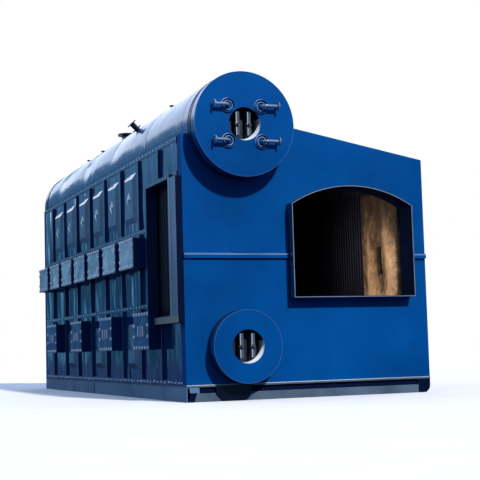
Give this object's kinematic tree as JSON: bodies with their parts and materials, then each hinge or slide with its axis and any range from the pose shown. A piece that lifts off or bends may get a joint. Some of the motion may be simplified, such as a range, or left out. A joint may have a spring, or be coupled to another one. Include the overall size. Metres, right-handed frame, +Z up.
{
  "type": "two-drum water-tube steam boiler",
  "caption": "Packaged water-tube steam boiler in a ribbed, riveted blue casing with an arched burner opening, two cylindrical drums with manhole recesses, and a flue window.",
  "frame": {"origin": "on the ground under the centre of the whole boiler's box", "axes": "+X to the right seen from the burner front, +Y to the rear, +Z up"},
  "size_m": [3.612, 8.8799, 4.2453],
  "materials": {
    "blue_paint": "glossy blue enamel on sheet steel",
    "casing_paint": "glossy dark blue enamel on ribbed side sheets",
    "trim_paint": "glossy blue enamel on ribs and riveted strips",
    "tray_paint": "glossy blue enamel on pressed trays and plates",
    "base_paint": "satin blue paint on the base beams",
    "tube_steel": "dark mill scale on boiler tubes",
    "drum_steel": "dark rolled steel",
    "bare_steel": "bright machined steel",
    "refractory": "rough tan fire clay and fibre"
  },
  "bodies": {
    "root": {"base_beam_left": "base_paint", "base_beam_right": "base_paint", "base_cross_beams": "base_paint", "floor_plate": "base_paint", "foot_posts": "base_paint", "lower_drum_saddles": "base_paint", "front_wall": "blue_paint", "front_rib": "blue_paint", "burner_collar": "blue_paint", "left_wall_lower": "casing_paint", "left_wall_front": "casing_paint", "left_wall_rear": "casing_paint", "left_wall_head": "casing_paint", "right_wall": "casing_paint", "rear_wall": "blue_paint", "rear_rib": "blue_paint", "roof_panel": "blue_paint", "eave_ledge": "trim_paint", "left_ribs": "trim_paint", "left_strips": "trim_paint", "right_ribs": "trim_paint", "right_strips": "trim_paint", "upper_cassettes": "tray_paint", "lower_cassettes": "tray_paint", "upper_hatch_boxes": "tray_paint", "upper_hatch_plates": "tray_paint", "lower_hatch_boxes": "tray_paint", "lower_hatch_plates": "tray_paint", "flue_window_frame": "blue_paint", "upper_drum_shell": "drum_steel", "lower_drum_shell": "drum_steel", "drum_heads": "drum_steel", "upper_jacket": "tray_paint", "upper_barrels": "blue_paint", "lower_barrels": "blue_paint", "upper_front_disc": "blue_paint", "lower_front_disc": "blue_paint", "rear_discs": "blue_paint", "manhole_covers": "drum_steel", "manhole_yokes": "bare_steel", "gauge_nozzles": "blue_paint", "gauge_sleeves": "blue_paint", "ridge_nozzles": "blue_paint", "inclined_nozzle": "blue_paint", "furnace_wall_tubes": "tube_steel", "furnace_top_bends": "tube_steel", "furnace_roof_tubes": "tube_steel", "furnace_low_bends": "tube_steel", "partition_tubes": "tube_steel", "rear_tubes": "tube_steel", "brick_floor": "refractory", "fibre_lining": "refractory", "bank_tubes": "tube_steel", "bank_bent_tubes": "tube_steel"}
  },
  "joints": []
}
